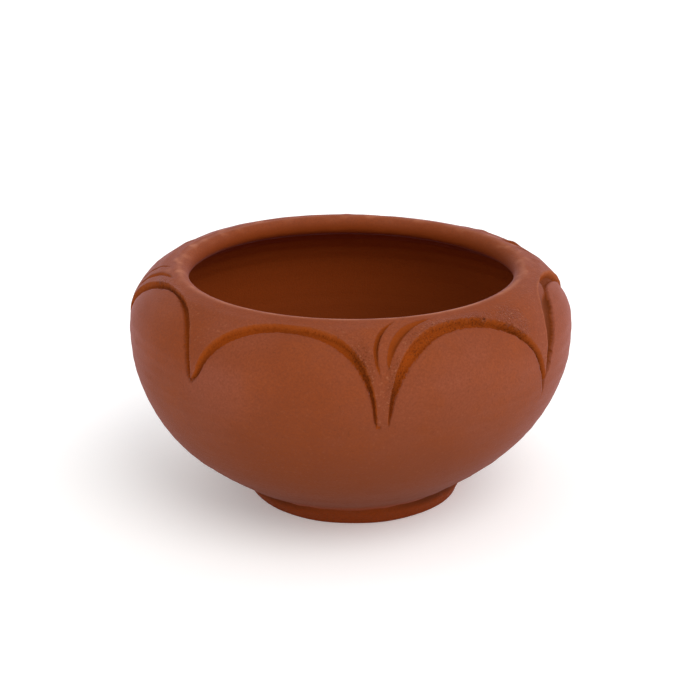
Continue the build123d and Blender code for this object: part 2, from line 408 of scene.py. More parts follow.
def snapped(theta, drop, radius, column_width, row_step):
    """Points of the mesh moved onto the edges of the grooves that they are next to."""
    best = np.ones(theta.shape)
    move_round = np.zeros(theta.shape)
    move_drop = np.zeros(theta.shape)
    for arch in ARCHES:
        outer, inner, above, near, _ = arch_edges(arch, theta, drop, radius)
        for edge in (outer, inner):
            reach = np.abs(edge.out_round) * column_width + np.abs(edge.out_drop) * row_step
            closeness = np.abs(edge.inside) / (0.5 * reach)
            take = near & (above > 0) & (closeness < best)
            best = np.where(take, closeness, best)
            move_round = np.where(take, edge.inside * edge.out_round, move_round)
            move_drop = np.where(take, edge.inside * edge.out_drop, move_drop)
    return theta + np.degrees(move_round / radius), drop + move_drop


def stroke_line(stroke):
    """Points along the sharp side of a stroke."""
    t = np.linspace(0, 1, STROKE_PIECES + 1)[:, None]
    a, b, c, d = np.array(stroke.line)
    return a * (1 - t) ** 3 + 3 * b * t * (1 - t) ** 2 + 3 * c * t**2 * (1 - t) + d * t**3


def stroke_cut(stroke, foot, bold, theta, drop, radius):
    """Depth and painted shade of a crescent stroke: steep on its right side."""
    line = stroke_line(stroke)
    radius = np.mean(radius)
    offset = (theta - foot + 180) % 360 - 180
    x = np.radians(offset) * radius
    line_x = np.radians(line[:, 0]) * radius
    best = np.full(x.shape, 1e9)
    side = np.zeros(x.shape)
    along = np.zeros(x.shape)
    for k in range(STROKE_PIECES):
        start = np.array((line_x[k], line[k, 1]))
        run = np.array((line_x[k + 1], line[k + 1, 1])) - start
        t = ((x - start[0]) * run[0] + (drop - start[1]) * run[1]) / run.dot(run)
        t = np.clip(t, 0, 1)
        dx = x - start[0] - t * run[0]
        dy = drop - start[1] - t * run[1]
        distance = np.hypot(dx, dy)
        nearer = distance < best
        best = np.where(nearer, distance, best)
        side = np.where(nearer, np.sign(dx * run[1] - dy * run[0]), side)
        along = np.where(nearer, (k + t) / STROKE_PIECES, along)
    fade = np.sin(math.pi * np.clip(along, 0.01, 0.99)) ** 0.6
    across = -side * best / (stroke.width * bold * fade)
    steep = np.clip(across / STROKE_STEEP, 0, 1)
    profile = np.minimum(steep, np.clip((1 - across) / (1 - STROKE_STEEP), 0, 1))
    # Painted shade: a dark line by the sharp side, and a fainter band over the whole stroke.
    line_shade = smooth(0.0, 0.15, across) * (1 - smooth(0.28, 0.5, across))
    band_shade = 0.35 * smooth(0.0, 0.1, profile)
    dark = np.maximum(stroke.dark * line_shade * smooth(0.5, 0.9, fade), band_shade)
    return stroke.depth * bold * fade * profile, dark * bold


def collar_end(theta):
    """Drop at which the collar's points between arches end, by angle."""
    points = []
    for arch, after in zip(ARCHES, ARCHES[1:] + ARCHES[:1]):
        gap = (after.left.foot - arch.right.foot + 180) % 360 - 180
        middle = (arch.right.foot + gap / 2) % 360
        points.append((middle, min(arch.right.drop, after.left.drop) + COLLAR_POINT))
    points.sort()
    angles, drops = zip(*points)
    return np.interp(theta % 360, angles, drops, period=360)


def patched(patches, theta, drop):
    """1 inside patches of angle, drop and their reach, fading to 0 at their edges."""
    total = np.zeros(theta.shape)
    for angle, level, reach_round, reach_down in patches:
        offset = (theta - angle + 180) % 360 - 180
        away = np.hypot(offset / reach_round, (drop - level) / reach_down)
        total = np.maximum(total, 1 - smooth(0.4, 1.0, away))
    return total


def grit(theta, drop):
    """How rough the tool left the collar, 0 to 1."""
    return np.maximum(LEAST_GRIT, patched(GRITTY, theta, drop))


def kiln_and_sheen_tint(theta, drop):
    """How much browner, above 0, or pinker the clay is, pinker partly as painted sheen."""
    return sum(strength * patched((patch,), theta, drop) for *patch, strength in CLOUDS)


def rim_wear_and_glint(theta, drop):
    """Pale lip: a fine painted highlight on its inner edge, clearest in front, and rubbed patches
    elsewhere.
    """
    facing = np.cos(np.radians(theta))
    front = 0.35 + 0.65 * np.clip(facing * 1.3, 0, 1)
    behind = 1 - smooth(0.2, 0.6, facing)
    patches = behind * np.clip(WORN(theta, drop) * 1.6 - 0.2, 0, 1)
    return np.maximum(front * bell(drop, -0.4, 0.6), 0.9 * patches * bell(drop, 0.2, 1.9))


def groove_profile(across, width, slope):
    """Share of full depth across a groove, its painted shade, and how freshly cut it is."""
    scooped = slope > LONG_SLOPE
    outer_slope = np.maximum(slope, THIN_WALL / width)
    outer_slope = np.clip(outer_slope, 0, LONGEST_OUTER_SLOPE)
    inner_slope = np.where(scooped, SCOOPED_INNER_SLOPE, INNER_SLOPE)
    inner_slope = np.maximum(inner_slope, THIN_WALL / width)
    inner_slope = np.clip(inner_slope, 0, LONGEST_INNER_SLOPE)
    outer_wall = np.clip(across / outer_slope, 0, 1)
    inner_wall = np.clip((1 - across) / inner_slope, 0, 1)
    narrow = 1 - smooth(1.2, 2.4, width)
    middle = 0.5 * (1 + outer_slope - inner_slope)
    # Painted shade: a dark line down a narrow groove's middle, and a scooped groove darkened
    # towards its inner side.
    line = bell(across, middle, 0.26)
    dark = np.where(scooped, smooth(0.25, 0.6, across), 0.85 * narrow * line)
    fresh = 1 - 0.3 * smooth(0.8, 1.0, across)
    scoop = smooth(LONG_SLOPE, 0.6, slope)
    fresh = fresh * (1 - scoop * (1 - smooth(0.25, 0.5, across)))
    return np.minimum(outer_wall, inner_wall), dark, fresh


class Carving:
    """Height of the carved skin above the turned one, and how it looks there."""

    def __init__(self, theta, drop, radius):
        self.theta, self.drop, self.radius = theta, drop, radius
        self.height = np.zeros(theta.shape)
        self.cut = np.zeros(theta.shape)
        self.painted_shade = np.zeros(theta.shape)
        self.burr = np.zeros(theta.shape)
        self.in_arch = np.zeros(theta.shape, bool)
        self.held = 1 - SKIP_STRENGTH * patched(SKIPPED, theta, drop)
        for arch in ARCHES:
            self.add_arch(arch)
        self.add_collar()
        for number, shift, bold in STROKED_ARCHES:
            foot = ARCHES[number].left.foot + shift
            ticks = (TICK,) if number == TICKED_ARCH else ()
            for stroke in STROKES + ticks:
                self.add_stroke(stroke, foot, bold)

    def add_arch(self, arch):
        """A groove with a raised rim outside it and a sunk petal inside it."""
        outer, inner, above, near, slope = arch_edges(arch, self.theta, self.drop, self.radius)
        under = near & (outer.inside > ON_EDGE) & (above > -PETAL_PILLOW)
        self.in_arch |= under
        rim = arch.burr * bell(np.clip(-outer.inside, 0, None), 0.0, BURR_REACH)
        rim = rim * smooth(4.0, 12.0, above)
        self.burr = np.where(near & (above > 0), np.maximum(self.burr, rim), self.burr)

        width = np.maximum(outer.inside - inner.inside, 0.05)
        across = np.clip(outer.inside / width, 0, 1)
        profile, dark, fresh = groove_profile(across, width, slope)
        depth = GROOVE_DEPTH * np.sqrt(np.clip(width / FULL_DEPTH_WIDTH, 0, 1))
        depth = depth * profile * smooth(0.0, 0.8, above) * self.held
        pillow = 1 - np.clip(inner.inside / PETAL_PILLOW, 0, 1)
        sink = PETAL_SINK * smooth(0.0, 9.0, above) * pillow**2
        sink = sink * smooth(0.0, 0.3, outer.inside)
        self.height = np.where(under, -sink - depth, self.height)

        channel = (inner.inside < -ON_EDGE) & (above > 0.1)
        self.cut = np.where(under, fresh * channel * self.held, self.cut)
        outer_edge = near & (np.abs(outer.inside) <= ON_EDGE) & (above > 0.1)
        self.cut = np.where(outer_edge, EDGE_CUT, self.cut)
        # Painted shade on the groove's floor, as strong as the arch's shade.
        dark = np.maximum(dark, arch.shade * smooth(0.05, 0.25, across))
        self.painted_shade = np.where(under, dark * channel * self.held, self.painted_shade)

    def add_collar(self):
        """The proud collar outside the arches, rubbed pale on its rims, with a painted highlight
        on the lip.
        """
        ends = collar_end(self.theta)
        self.collar = smooth(0.6, 4.0, self.drop) * (1 - smooth(-0.8, 0.3, self.drop - ends))
        proud = (COLLAR_PROUD + self.burr) * self.collar
        self.height = np.where(self.in_arch, self.height, proud)
        # Pale rims and lip: rubbed, with a painted highlight along the lip's edge.
        wear_and_glint = np.maximum(self.burr * 3 * self.collar, rim_wear_and_glint(self.theta, self.drop))
        self.wear_and_glint = np.where(self.in_arch, 0.0, wear_and_glint)

    def add_stroke(self, stroke, foot, bold):
        """A crescent stroke in the collar, hidden where an arch was cut."""
        depth, dark = stroke_cut(stroke, foot, bold, self.theta, self.drop, self.radius)
        cut = np.maximum(self.cut, bold * smooth(0.05, 0.2, depth))
        self.height = self.height - np.where(self.in_arch, 0.0, depth)
        self.cut = np.where(self.in_arch, self.cut, cut)
        self.painted_shade = np.where(self.in_arch, self.painted_shade, np.maximum(self.painted_shade, dark))

    def masks(self):
        """The masks of MASKS."""
        rough = grit(self.theta, self.drop)
        rough_groove = np.maximum(rough, GROOVE_GRIT) * self.cut
        rough = np.where(self.in_arch, rough_groove, rough * self.collar)
        painted_inside_shade = np.zeros(self.theta.shape)
        tint = kiln_and_sheen_tint(self.theta, self.drop)
        return self.cut, self.painted_shade, self.wear_and_glint, rough, painted_inside_shade, tint


def leaning(height):
    """Sideways drift of the hand-thrown wall at a height, in millimetres."""
    return np.interp(height, LEAN_HEIGHTS, LEAN_DRIFTS)


def ring_points(station, drop, theta, column_width):
    """Points of one ring, with the masks of MASKS."""
    r, z, normal_r, normal_z = station
    level = np.zeros(theta.shape)
    if CARVED_TOP - 0.3 < drop < CARVED_BOTTOM:
        step = CROWN_STEP if drop < CARVED_MIDDLE else LEG_STEP
        theta, drop = snapped(theta, level + drop, r, column_width, step)
        r, z, normal_r, normal_z = skin_at(drop)
        carving = Carving(theta, drop, r)
        height = carving.height + turned_relief(theta, drop)
        masks = carving.masks()
    else:
        height, masks = plain_ring(theta, drop, r, z)
    height = height + lumps(theta, drop, r)
    radii = r + normal_r * height + foot_wobble(theta, r, z)
    radii = np.minimum(radii, BOWL_RADIUS - np.abs(leaning(z)))
    heights = np.minimum(z + normal_z * height - lip_tilt(theta, z), BOWL_HEIGHT)
    a = np.radians(theta)
    x = radii * np.sin(a) + leaning(z)
    y = -radii * np.cos(a)
    return np.stack((x, y, heights + level), axis=-1), masks


def lumps(theta, drop, radius):
    """Small lumps of clay left on the shoulder."""
    total = np.zeros(theta.shape)
    for angle, level, size, tall in LUMPS:
        across = np.radians((theta - angle + 180) % 360 - 180) * radius
        total = total + tall * np.exp(-((across**2 + (drop - level) ** 2) / size**2))
    return total


def foot_wobble(theta, radius, z):
    """How far the hand-cut foot strays from a circle."""
    reach = smooth(12.0, 24.0, radius) * smooth(CREASE[1] + 0.5, CREASE[1] - 2.0, z)
    return FOOT_STRAY * FOOT_WOBBLE(theta, 0.0) * reach


def plain_ring(theta, drop, r, z):
    """Relief and masks of a ring that has no carving."""
    level = np.zeros(theta.shape)
    # Painted shade inside: a tone under the lip, and darker further down the inside.
    painted_inside_shade = 0.5 * smooth(1.5, 5.0, -drop) + 0.5 * smooth(20.0, 40.0, -drop)
    sides = 0.2 + 0.8 * smooth(0.2, 0.7, np.abs(np.sin(np.radians(theta))))
    trimmed, nip = 0.0, 0.0
    if drop > 0:
        trimmed = smooth(CREASE[1] + 3.5, CREASE[1] - 0.3, z)
        # Painted shade in the crease over the foot, strongest at the sides.
        nip = NIP_DARKNESS * sides * bell(z, CREASE[1] - 0.3, 0.9)
    masks = (
        level + trimmed, level + nip, rim_wear_and_glint(theta, drop),
        level + 0.7 * trimmed, level + painted_inside_shade, kiln_and_sheen_tint(theta, drop),
    )
    if drop > 0 and z < CREASE[1] + CREASE_ROUND:
        return foot_relief(theta, drop, z, sides), masks
    return turned_relief(theta, drop) * min(1.0, r / FLOOR_RADIUS), masks


def lip_tilt(theta, z):
    """How much lower the lip is at the front and at the back's right side."""
    a = np.radians(theta)
    front = np.clip(np.cos(a), 0, None)
    behind = np.clip(-np.cos(a), 0, None)
    return (FRONT_DIP * front + BACK_DIP * np.sin(a) * behind) * smooth(40.0, 50.0, z)


def turned_relief(theta, drop):
    """Unevenness of the thrown wall, with rings left by the fingers."""
    inside = np.asarray(drop) < -6
    rings = RING_HEIGHT * np.sin(drop * RINGS_PER_MM) * (1 + 0.5 * DIMPLE(theta, drop))
    proud = COLLAR_PROUD * smooth(14.0, 18.0, drop)
    full = BELLY_FULLNESS * smooth(WIDEST_DROP + 1, WIDEST_DROP + 8, drop)
    full = full * (1 - smooth(54.0, 60.0, drop))
    swell = SWELL_HEIGHT * SWELL(theta, drop) - SWELL_HEIGHT + full
    rings = rings * np.where(inside, INSIDE_RINGS, 1.0)
    return swell + rings + DIMPLE_HEIGHT * DIMPLE(theta, drop) - proud


def foot_relief(theta, drop, z, sides):
    """Knife-trimmed foot, undercut at its sides where it meets the body."""
    if z < 0.3:
        return np.zeros(theta.shape)
    undercut = UNDERCUT * sides * bell(z, CREASE[1], 0.8)
    return FOOT_DIMPLES * DIMPLE(theta, drop) * min(z, 3.0) / 3.0 - FOOT_INSET - undercut


def columns():
    """Angles of the finest rings, crowded where the arches' legs and strokes are."""
    angles = np.arange(0, 360, 0.1)
    crowd = np.zeros(angles.shape)
    stroked = [number for number, _, _ in STROKED_ARCHES]
    for number, arch in enumerate(ARCHES):
        left_reach = STROKE_REACH if number in stroked else LEG_REACH
        for foot, low, high in (
            (arch.left.foot, -3.5, left_reach), (arch.right.foot, -LEG_REACH, 2.0)
        ):
            offset = (angles - foot + 180) % 360 - 180
            zone = smooth(low - 2, low, offset) * (1 - smooth(high, high + 2, offset))
            crowd = np.maximum(crowd, zone)
    share = np.cumsum(1 + LEG_CROWDING * crowd)
    share = (share - share[0]) / (share[-1] - share[0] + 1)
    return np.interp(np.arange(FINE) / FINE, share, angles)


def stride(drop):
    """Which of the finest ring's columns a ring has: every one, 2nd or 4th."""
    if CARVED_TOP - 0.3 < drop <= CARVED_BOTTOM:
        return 1
    if drop < COARSE_INSIDE or drop > COARSE_BELOW:
        return 4
    return 2


def bridge(lower, n_lower, upper, n_upper):
    """Faces between two rings whose point counts are equal or 2 to 1."""
    faces = []
    if n_lower == n_upper:
        for k in range(n_lower):
            j = (k + 1) % n_lower
            faces.append((lower + k, lower + j, upper + j, upper + k))
        return faces
    flip = n_lower > n_upper
    coarse, n_coarse, fine = (upper, n_upper, lower) if flip else (lower, n_lower, upper)
    for k in range(n_coarse):
        a, b = coarse + k, coarse + (k + 1) % n_coarse
        left, middle = fine + 2 * k, fine + 2 * k + 1
        right = fine + (2 * k + 2) % (2 * n_coarse)
        fans = [(a, middle, left), (a, b, middle), (b, right, middle)]
        faces += [fan[::-1] for fan in fans] if flip else fans
    return faces


def build_bowl():
    """The whole bowl as one closed mesh, with the masks of MASKS."""
    stations = bowl_outline()
    points = np.array([(s[0], s[1]) for s in stations])
    lengths = np.r_[0, np.cumsum(np.hypot(*np.diff(points, axis=0).T))]
    crest = int(np.argmax(points[:, 1]))
    drops = lengths[crest] - lengths
    bottom = (0.0, 0.0, 0.0)
    top = (0.0, 0.0, FLOOR_Z)
    vertices, rings, faces = [bottom], [], []
    layers = [[0.0] for _ in MASKS]
    finest = columns()
    widths = np.diff(np.r_[finest, 360.0])
    for station, drop in zip(stations[1:], drops[1:]):
        step = stride(drop)
        theta = finest[::step]
        count = len(theta)
        column_width = np.radians(widths[::step]) * station[0]
        places, masks = ring_points(station, drop, theta, column_width)
        rings.append((len(vertices), count))
        vertices += [tuple(p) for p in places]
        for layer, mask in zip(layers, masks):
            layer += list(mask)
    first, count = rings[0]
    faces += [(0, first + (k + 1) % count, first + k) for k in range(count)]
    for (low, n_low), (high, n_high) in zip(rings, rings[1:]):
        faces += bridge(low, n_low, high, n_high)
    last, count = rings[-1]
    vertices.append(top)
    end = len(vertices) - 1
    faces += [(last + k, last + (k + 1) % count, end) for k in range(count)]
    piece = mesh_piece("carved_bowl", np.array(vertices) * MM, faces)
    for name, layer in zip(MASKS, layers):
        attribute = piece.data.attributes.new(name, "FLOAT", "POINT")
        attribute.data.foreach_set("value", layer + layer[-1:])
    return piece


def mesh_piece(name, vertices, faces):
    """A smooth-shaded object from points and faces."""
    mesh = bpy.data.meshes.new(name)
    mesh.from_pydata([tuple(v) for v in vertices], [], faces)
    mesh.validate()
    mesh.shade_smooth()
    piece = bpy.data.objects.new(name, mesh)
    bpy.context.scene.collection.objects.link(piece)
    return piece


# ------------------------------------------------------------------ materials


# Colours of the fired clay: its ground, clouds and grain; the pink cloud is partly
# painted sheen, and the colour below is painted shade.
BROWN_GROUND = (0.252, 0.053, 0.014)
PINK_GROUND = (0.282, 0.074, 0.036)
ORANGE_PATCH = (0.300, 0.064, 0.014)
DULL_STREAK = (0.205, 0.046, 0.018)
BROWN_CLOUD = (0.225, 0.0460, 0.0095)
PINK_CLOUD_AND_SHEEN = (0.272, 0.072, 0.038)
PAINTED_SHADE_BELOW = (0.128, 0.0245, 0.0020)
DARK_GRAIN = (0.160, 0.034, 0.010)
PALE_SAND = (0.400, 0.140, 0.065)
PIT_SHADE = (0.110, 0.026, 0.008)
SKIN_SPECK = (0.170, 0.034, 0.006)

# Colours where the clay was cut or rubbed pale, with a painted highlight on the lip,
# and painted shade in the cuts, under the lip and inside.
FRESH_CUT = (0.302, 0.053, 0.001)
FRESH_CUT_SHADED_BELOW = (0.218, 0.032, 0.0004)
CUT_SPECK = (0.120, 0.022, 0.001)
PAINTED_CUT_SHADE = (0.100, 0.017, 0.001)
WORN_RIM_AND_GLINT = (0.470, 0.170, 0.085)
PAINTED_SHADE_UNDER_LIP = (0.275, 0.047, 0.004)
PAINTED_SHADE_INSIDE = (0.140, 0.022, 0.001)
SHEEN_TINT = (1.0, 0.62, 0.72, 1.0)

# Heights between which painted shade darkens the clay towards the foot.
DARKENING_TOP = 42.0
DARKENING_END = 10.0

COTTON_SHADE = (0.70, 0.66, 0.57)
COTTON_WHITE = (0.90, 0.88, 0.82)
COTTON_CREAM = (0.62, 0.56, 0.45)

FLOOR_GREY = (0.94, 0.94, 0.94)
FLOOR_WHITE = (0.96, 0.96, 0.96)
FLOOR_GLOW = 0.22


class Shader:
    """Small helper that adds and joins the nodes of one material."""

    def __init__(self, name):
        self.material = bpy.data.materials.new(name)
        self.material.use_nodes = True
        self.nodes = self.material.node_tree.nodes
        self.links = self.material.node_tree.links
        self.principled = self.nodes["Principled BSDF"]
        self.place = self.nodes.new("ShaderNodeTexCoord").outputs["Object"]

    def join(self, source, socket):
        self.links.new(source, socket)

    def stretched(self, scale):
        """Object position with its axes scaled."""
        mapping = self.nodes.new("ShaderNodeMapping")
        mapping.inputs["Scale"].default_value = scale
        self.join(self.place, mapping.inputs["Vector"])
        return mapping.outputs["Vector"]

    def noise(self, size, detail=4.0, roughness=0.55, place=None):
        """Noise whose features are about a given size in millimetres."""
        node = self.nodes.new("ShaderNodeTexNoise")
        node.inputs["Scale"].default_value = 1 / (size * MM)
        node.inputs["Detail"].default_value = detail
        node.inputs["Roughness"].default_value = roughness
        self.join(place or self.place, node.inputs["Vector"])
        return node.outputs["Fac"]

    def height(self):
        """Height above the table."""
        node = self.nodes.new("ShaderNodeSeparateXYZ")
        self.join(self.place, node.inputs["Vector"])
        return node.outputs["Z"]

    def attribute(self, name):
        node = self.nodes.new("ShaderNodeAttribute")
        node.attribute_name = name
        return node.outputs["Fac"]

    def ramp(self, value, low, high, bottom=0.0, top=1.0):
        """Value mapped from low..high to bottom..top, and held beyond."""
        node = self.nodes.new("ShaderNodeMapRange")
        for socket, number in zip(node.inputs[1:5], (low, high, bottom, top)):
            socket.default_value = number
        self.join(value, node.inputs["Value"])
        return node.outputs["Result"]

    def math(self, operation, a, b):
        node = self.nodes.new("ShaderNodeMath")
        node.operation = operation
        for socket, value in zip(node.inputs, (a, b)):
            if isinstance(value, (int, float)):
                socket.default_value = value
            else:
                self.join(value, socket)
        return node.outputs["Value"]

    def mix(self, factor, a, b, blend="MIX"):
        """Colour mix; a and b are colours or sockets."""
        node = self.nodes.new("ShaderNodeMix")
        node.data_type = "RGBA"
        node.blend_type = blend
        if isinstance(factor, (int, float)):
            node.inputs["Factor"].default_value = factor
        else:
            self.join(factor, node.inputs["Factor"])
        for socket, value in ((node.inputs[6], a), (node.inputs[7], b)):
            if isinstance(value, tuple):
                socket.default_value = (*value, 1.0)
            else:
                self.join(value, socket)
        return node.outputs[2]

    def bump(self, height, distance, strength=1.0, under=None):
        """Bump whose full swing is a distance in millimetres."""
        node = self.nodes.new("ShaderNodeBump")
        node.inputs["Distance"].default_value = distance * MM
        if isinstance(strength, float):
            node.inputs["Strength"].default_value = strength
        else:
            self.join(strength, node.inputs["Strength"])
        self.join(height, node.inputs["Height"])
        if under is not None:
            self.join(under, node.inputs["Normal"])
        return node.outputs["Normal"]


def terracotta():
    """Unglazed red clay: matte, gritty and orange where the tool cut it."""
    s = Shader("terracotta")
    cut, painted_shade, wear_and_glint, rough, painted_inside_shade, tint = [s.attribute(name) for name in MASKS]
    cloud = s.ramp(s.noise(38.0, 3.0), 0.40, 0.62)
    patch = s.ramp(s.noise(9.0, 5.0, 0.62), 0.42, 0.66)
    streak = s.ramp(s.noise(2.2, 4.0, 0.6, s.stretched((0.12, 0.12, 1.0))), 0.35, 0.68)
    grain = s.noise(0.45, 3.0, 0.6)
    grit = s.noise(0.40, 3.0, 0.7)
    sand = s.ramp(s.noise(0.6, 2.0, 0.5), 0.60, 0.72)
    pit = s.ramp(s.noise(0.8, 2.0, 0.5), 0.26, 0.34, 1.0, 0.0)
    # Painted shade: the clay, and its cuts, darken towards the foot.
    low = s.ramp(s.height(), DARKENING_TOP * MM, DARKENING_END * MM)

    colour = s.mix(cloud, BROWN_GROUND, PINK_GROUND)
    colour = s.mix(s.math("MULTIPLY", patch, 0.60), colour, ORANGE_PATCH)
    colour = s.mix(s.math("MULTIPLY", streak, 0.22), colour, DULL_STREAK)
    # Browner and pinker clouds: partly the clay's own, partly painted sheen on the sides.
    colour = s.mix(s.ramp(tint, 0.0, 1.0, 0.0, 0.75), colour, BROWN_CLOUD)
    colour = s.mix(s.ramp(tint, 0.0, -1.0, 0.0, 0.75), colour, PINK_CLOUD_AND_SHEEN)
    # Painted shade below.
    colour = s.mix(s.math("MULTIPLY", low, 0.9), colour, PAINTED_SHADE_BELOW)
    colour = s.mix(s.ramp(grain, 0.35, 0.65, 0.44, 0.0), colour, DARK_GRAIN)
    sandy = s.math("MULTIPLY", sand, s.ramp(rough, 0.0, 1.0, 0.08, 0.75))
    colour = s.mix(sandy, colour, PALE_SAND)
    colour = s.mix(s.math("MULTIPLY", pit, 0.30), colour, PIT_SHADE)
    speck = s.math("MULTIPLY", s.ramp(grit, 0.52, 0.64), rough)
    colour = s.mix(s.math("MULTIPLY", speck, 0.9), colour, SKIN_SPECK)

    # Fresh cuts, with the same painted shade towards the foot.
    fresh = s.mix(low, FRESH_CUT, FRESH_CUT_SHADED_BELOW)
    cut_tone = s.mix(s.math("MULTIPLY", speck, 0.8), fresh, CUT_SPECK)
    ragged = s.math("ADD", cut, s.ramp(grain, 0.3, 0.7, -0.08, 0.08))
    colour = s.mix(s.ramp(ragged, 0.30, 0.70), colour, cut_tone)
    # Painted shade in the cuts, strokes and the crease over the foot.
    colour = s.mix(s.math("MULTIPLY", painted_shade, 0.82), colour, PAINTED_CUT_SHADE)
    # Rubbed-pale rims and lip patches, with a painted highlight along the lip's edge.
    worn_and_glint = s.math("MULTIPLY", wear_and_glint, s.ramp(s.noise(4.0, 3.0), 0.42, 0.58, 0.30, 0.75))
    colour = s.mix(worn_and_glint, colour, WORN_RIM_AND_GLINT)
    # Painted shade inside the bowl: under the lip, then darker further down.
    colour = s.mix(s.ramp(painted_inside_shade, 0.0, 0.5), colour, PAINTED_SHADE_UNDER_LIP)
    colour = s.mix(s.ramp(painted_inside_shade, 0.5, 1.0, 0.0, 0.7), colour, PAINTED_SHADE_INSIDE)
    s.join(colour, s.principled.inputs["Base Color"])

    s.join(s.ramp(grain, 0.3, 0.7, 0.78, 0.92), s.principled.inputs["Roughness"])
    s.principled.inputs["Specular IOR Level"].default_value = 0.14
    covered = s.math("MAXIMUM", s.math("MAXIMUM", cut, painted_inside_shade), s.math("MULTIPLY", low, 0.6))
    s.join(s.ramp(covered, 0.0, 0.8, 0.27, 0.0), s.principled.inputs["Sheen Weight"])
    s.principled.inputs["Sheen Roughness"].default_value = 0.3
    s.principled.inputs["Sheen Tint"].default_value = SHEEN_TINT

    relief = s.bump(streak, 0.05, 0.4)
    relief = s.bump(grain, 0.11, 0.6, relief)
    relief = s.bump(grit, 0.5, s.math("MULTIPLY", rough, 0.8), relief)
    s.join(relief, s.principled.inputs["Normal"])
    return s.material


def cotton():
    """Bleached cotton, with fine fibres running along the wick."""
    s = Shader("cotton")
    fibre = s.noise(0.35, 4.0, 0.7, s.stretched((1.0, 1.0, 0.15)))
    fluff = s.noise(1.6, 4.0, 0.6)
    colour = s.mix(s.ramp(fibre, 0.35, 0.65), COTTON_SHADE, COTTON_WHITE)
    colour = s.mix(s.ramp(fluff, 0.45, 0.7, 0.0, 0.35), colour, COTTON_CREAM)
    s.join(colour, s.principled.inputs["Base Color"])
    s.principled.inputs["Roughness"].default_value = 0.95
    s.principled.inputs["Sheen Weight"].default_value = 0.5
    s.principled.inputs["Sheen Roughness"].default_value = 0.6
    relief = s.bump(fluff, 0.3, 0.6)
    s.join(s.bump(fibre, 0.15, 0.9, relief), s.principled.inputs["Normal"])
    return s.material


def plain_floor():
    """Pale matte studio floor, lit a little from below as a light table is."""
    s = Shader("studio_floor")
    tone = s.mix(s.ramp(s.noise(400.0, 2.0), 0.3, 0.7), FLOOR_GREY, FLOOR_WHITE)
    s.join(tone, s.principled.inputs["Base Color"])
    s.principled.inputs["Roughness"].default_value = 0.9
    s.principled.inputs["Specular IOR Level"].default_value = 0.1
    s.principled.inputs["Emission Color"].default_value = (1.0, 1.0, 1.0, 1.0)
    s.principled.inputs["Emission Strength"].default_value = FLOOR_GLOW
    return s.material


# ----------------------------------------------------------------------- wick


# Wick, in millimetres.  The pad's outline runs under it, round its edge and up the
# flare: shares of its rows at which the underside and the edge end.
PAD_INSET = 0.94
PAD_THICKNESS = 1.9
PAD_EDGE_HEIGHT = PAD_THICKNESS * 0.8
PAD_COLUMNS = 144
PAD_ROWS = 46
UNDERSIDE_END = 0.3
EDGE_END = 0.45
FLARE_TOP = 7.5
FLARE_TWIST = 140
STEM_RADIUS = 1.5
STRANDS = 3
STRAND_TURNS = 5.0
STRAND_SIDES = 14
STRAND_STEPS = 90
STRAND_NARROWING = 0.35
FIBRES = 150
FIBRE_STEPS = 6
FIBRE_RADIUS = 0.045


def pad_outline(t, radius):
    """Radius and height of the pad's outline at a share of its rows."""
    if t < UNDERSIDE_END:
        return radius * (t / UNDERSIDE_END) ** 0.8, 0.0
    if t < EDGE_END:
        a = (t - UNDERSIDE_END) / 0.15 * math.pi / 2
        return radius + 0.35 * math.sin(2 * a), PAD_THICKNESS * (1 - math.cos(a)) * 0.8
    u = (t - EDGE_END) / 0.55
    r = STEM_RADIUS + (radius - STEM_RADIUS) * (1 - u) ** 2.4
    return r, PAD_EDGE_HEIGHT + (FLARE_TOP - PAD_EDGE_HEIGHT) * u**1.7


def build_pad(radius):
    """Round pad of cotton drawn up into the foot of the stem."""
    rounds, rows = PAD_COLUMNS, PAD_ROWS
    vertices = [(0.0, 0.0, 0.0)]
    faces = [(0, 1 + (k + 1) % rounds, 1 + k) for k in range(rounds)]
    fibres = Ripple(23, 40, 30.0, 14)
    tufts = Ripple(29, 7, 12.0)
    for row in range(1, rows):
        t = row / (rows - 1)
        r, z = pad_outline(t, radius)
        for k in range(rounds):
            theta = 360.0 * k / rounds
            twist = theta + FLARE_TWIST * max(0.0, t - EDGE_END)
            swell = 0.22 * float(fibres(twist, 0.0)) * min(1, r / radius * 1.6)
            swell += 0.30 * float(tufts(theta, z)) * (r / radius) ** 2
            reach = max(r + swell * (t > 0.02), 0.0)
            a = math.radians(theta)
            lift = max(z + 0.18 * float(fibres(twist + 40, 0.0)) * (0 < z), 0.0)
            vertices.append((reach * math.sin(a), -reach * math.cos(a), lift))
    for row in range(rows - 2):
        faces += bridge(1 + row * rounds, rounds, 1 + (row + 1) * rounds, rounds)
    top = len(vertices)
    vertices.append((0.0, 0.0, FLARE_TOP + 0.3))
    last = 1 + (rows - 2) * rounds
    faces += [(last + k, last + (k + 1) % rounds, top) for k in range(rounds)]
    return vertices, faces


